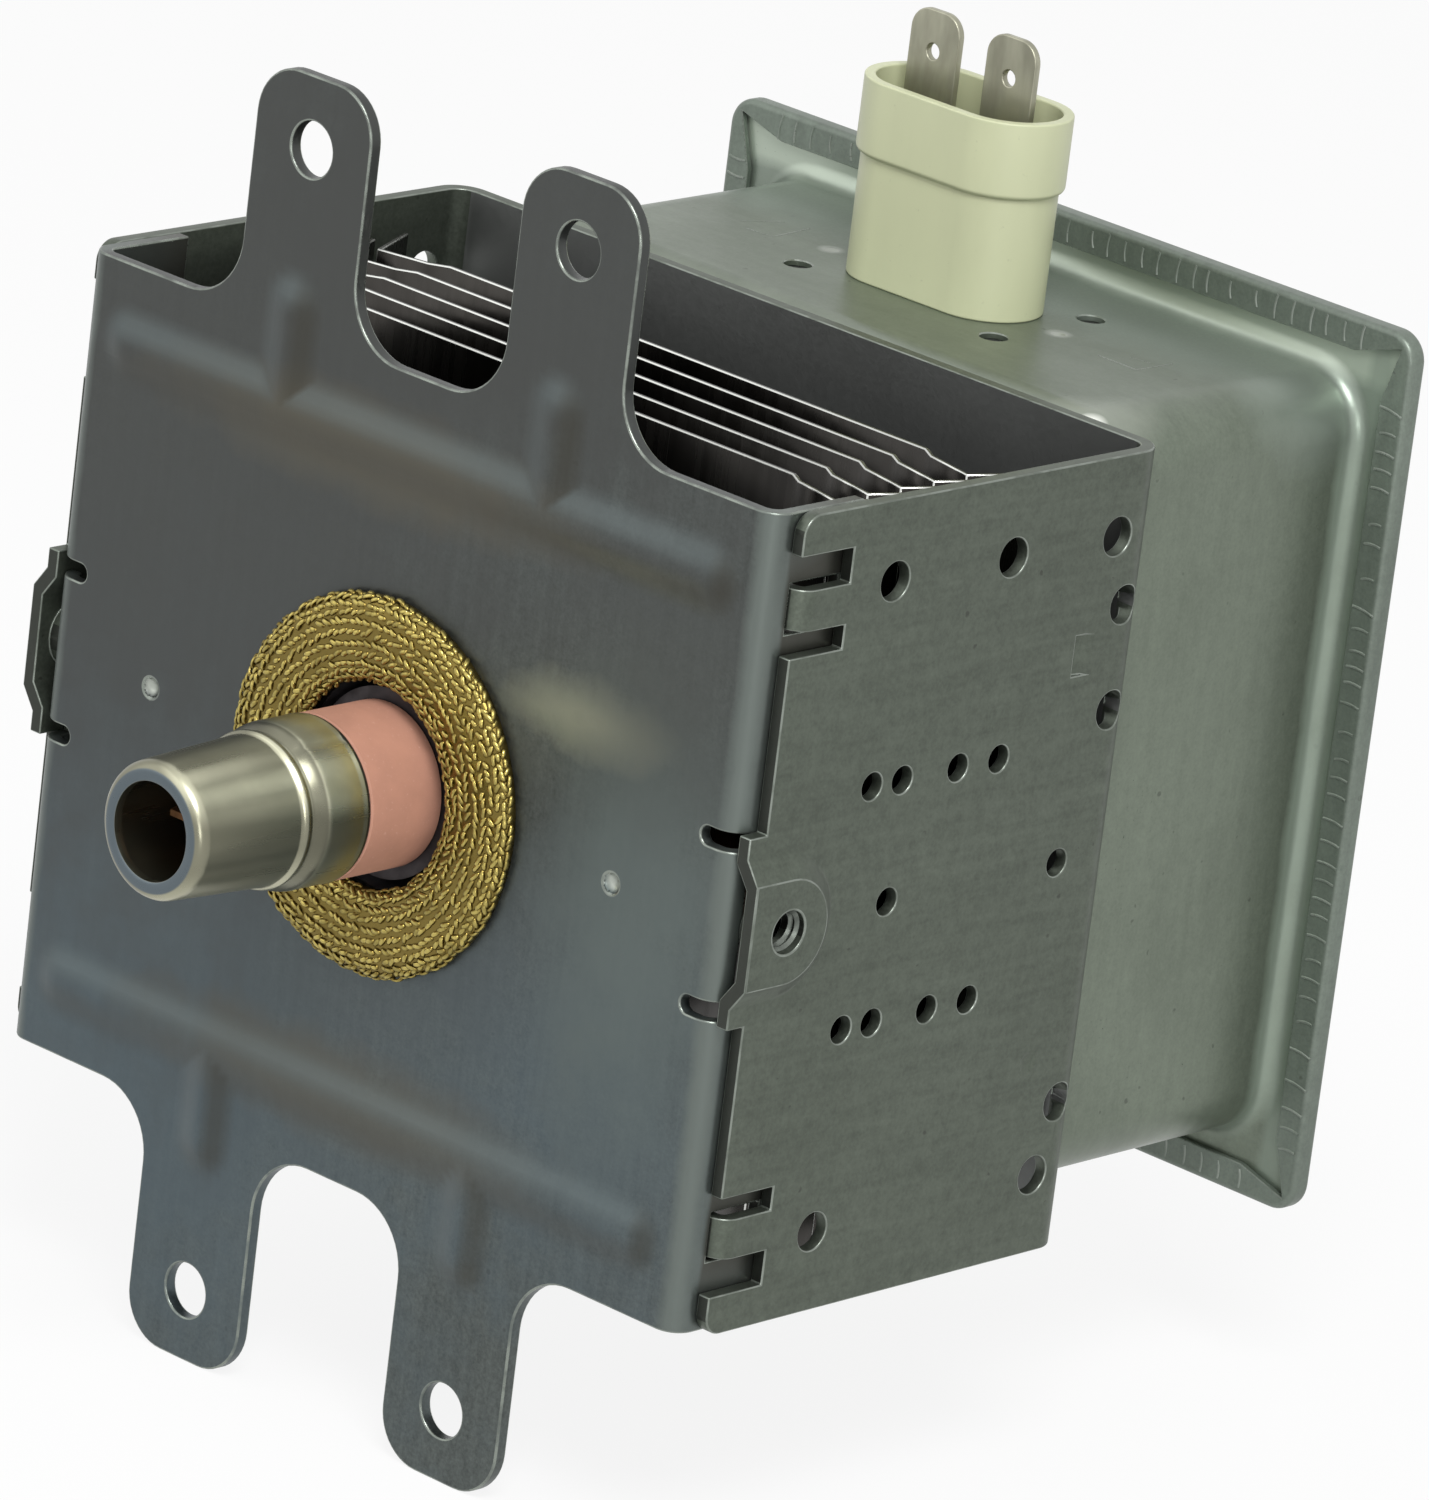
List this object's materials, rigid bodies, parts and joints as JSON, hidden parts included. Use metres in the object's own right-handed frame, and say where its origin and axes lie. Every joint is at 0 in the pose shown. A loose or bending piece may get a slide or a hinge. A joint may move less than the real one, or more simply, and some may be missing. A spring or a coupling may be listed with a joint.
{
  "type": "magnetron",
  "caption": "Packaged magnetron tube for a microwave oven: folded steel yoke with mounting lugs, finned anode, antenna with brass gasket, filter box and tab connector.",
  "frame": {"origin": "antenna axis at the front face of the mounting plate, in the middle of the lug holes", "axes": "-Y along the antenna, out of the mounting plate; +Z towards the terminals; +X to the right seen from the front"},
  "size_m": [0.0968, 0.1198, 0.1302],
  "materials": {
    "plate_steel": "zinc-plated sheet, dull bluish grey",
    "yoke_steel": "zinc-plated sheet, dull olive grey",
    "box_steel": "deep-drawn zinc-plated sheet, satin",
    "cover_steel": "zinc-plated sheet with a crimped hem",
    "gasket_brass": "knitted brass wire",
    "cap_nickel": "bright nickel plate",
    "pink_ceramic": "matt pink alumina",
    "white_ceramic": "matt white alumina",
    "seal_metal": "oxidised seal metal",
    "copper": "copper",
    "magnet_ferrite": "matt sintered ferrite",
    "pole_iron": "soft iron",
    "cathode_metal": "tungsten and molybdenum",
    "fin_aluminium": "bare aluminium sheet",
    "connector_cream": "moulded cream plastic",
    "terminal_tin": "tinned brass, dull",
    "ground_plate": "zinc-plated sheet",
    "case_plastic": "moulded dark plastic",
    "choke_copper": "enamelled copper wire",
    "core_ferrite": "matt ferrite"
  },
  "bodies": {
    "root": {"mounting_plate": "plate_steel", "yoke_frame": "yoke_steel", "filter_box": "box_steel", "filter_cover": "cover_steel", "rf_gasket": "gasket_brass", "antenna_cap": "cap_nickel", "output_ceramic": "pink_ceramic", "stem_ceramic": "white_ceramic", "output_seal": "seal_metal", "stem_seal": "seal_metal", "exhaust_tube": "copper", "antenna_lead": "copper", "anode_shell": "copper", "anode_vane_1": "copper", "anode_vane_2": "copper", "anode_vane_3": "copper", "anode_vane_4": "copper", "anode_vane_5": "copper", "anode_vane_6": "copper", "anode_vane_7": "copper", "anode_vane_8": "copper", "anode_vane_9": "copper", "anode_vane_10": "copper", "front_inner_strap": "copper", "front_outer_strap": "copper", "rear_inner_strap": "copper", "rear_outer_strap": "copper", "front_magnet": "magnet_ferrite", "rear_magnet": "magnet_ferrite", "front_pole": "pole_iron", "rear_pole": "pole_iron", "filament": "cathode_metal", "front_hat": "cathode_metal", "rear_hat": "cathode_metal", "centre_lead": "cathode_metal", "side_lead": "cathode_metal", "cooling_fin_1": "fin_aluminium", "cooling_fin_2": "fin_aluminium", "cooling_fin_3": "fin_aluminium", "cooling_fin_4": "fin_aluminium", "cooling_fin_5": "fin_aluminium", "connector_shell": "connector_cream", "left_terminal": "terminal_tin", "right_terminal": "terminal_tin", "capacitor_plate": "ground_plate", "capacitor_case": "case_plastic", "left_choke": "choke_copper", "right_choke": "choke_copper", "left_core": "core_ferrite", "right_core": "core_ferrite"}
  },
  "joints": []
}
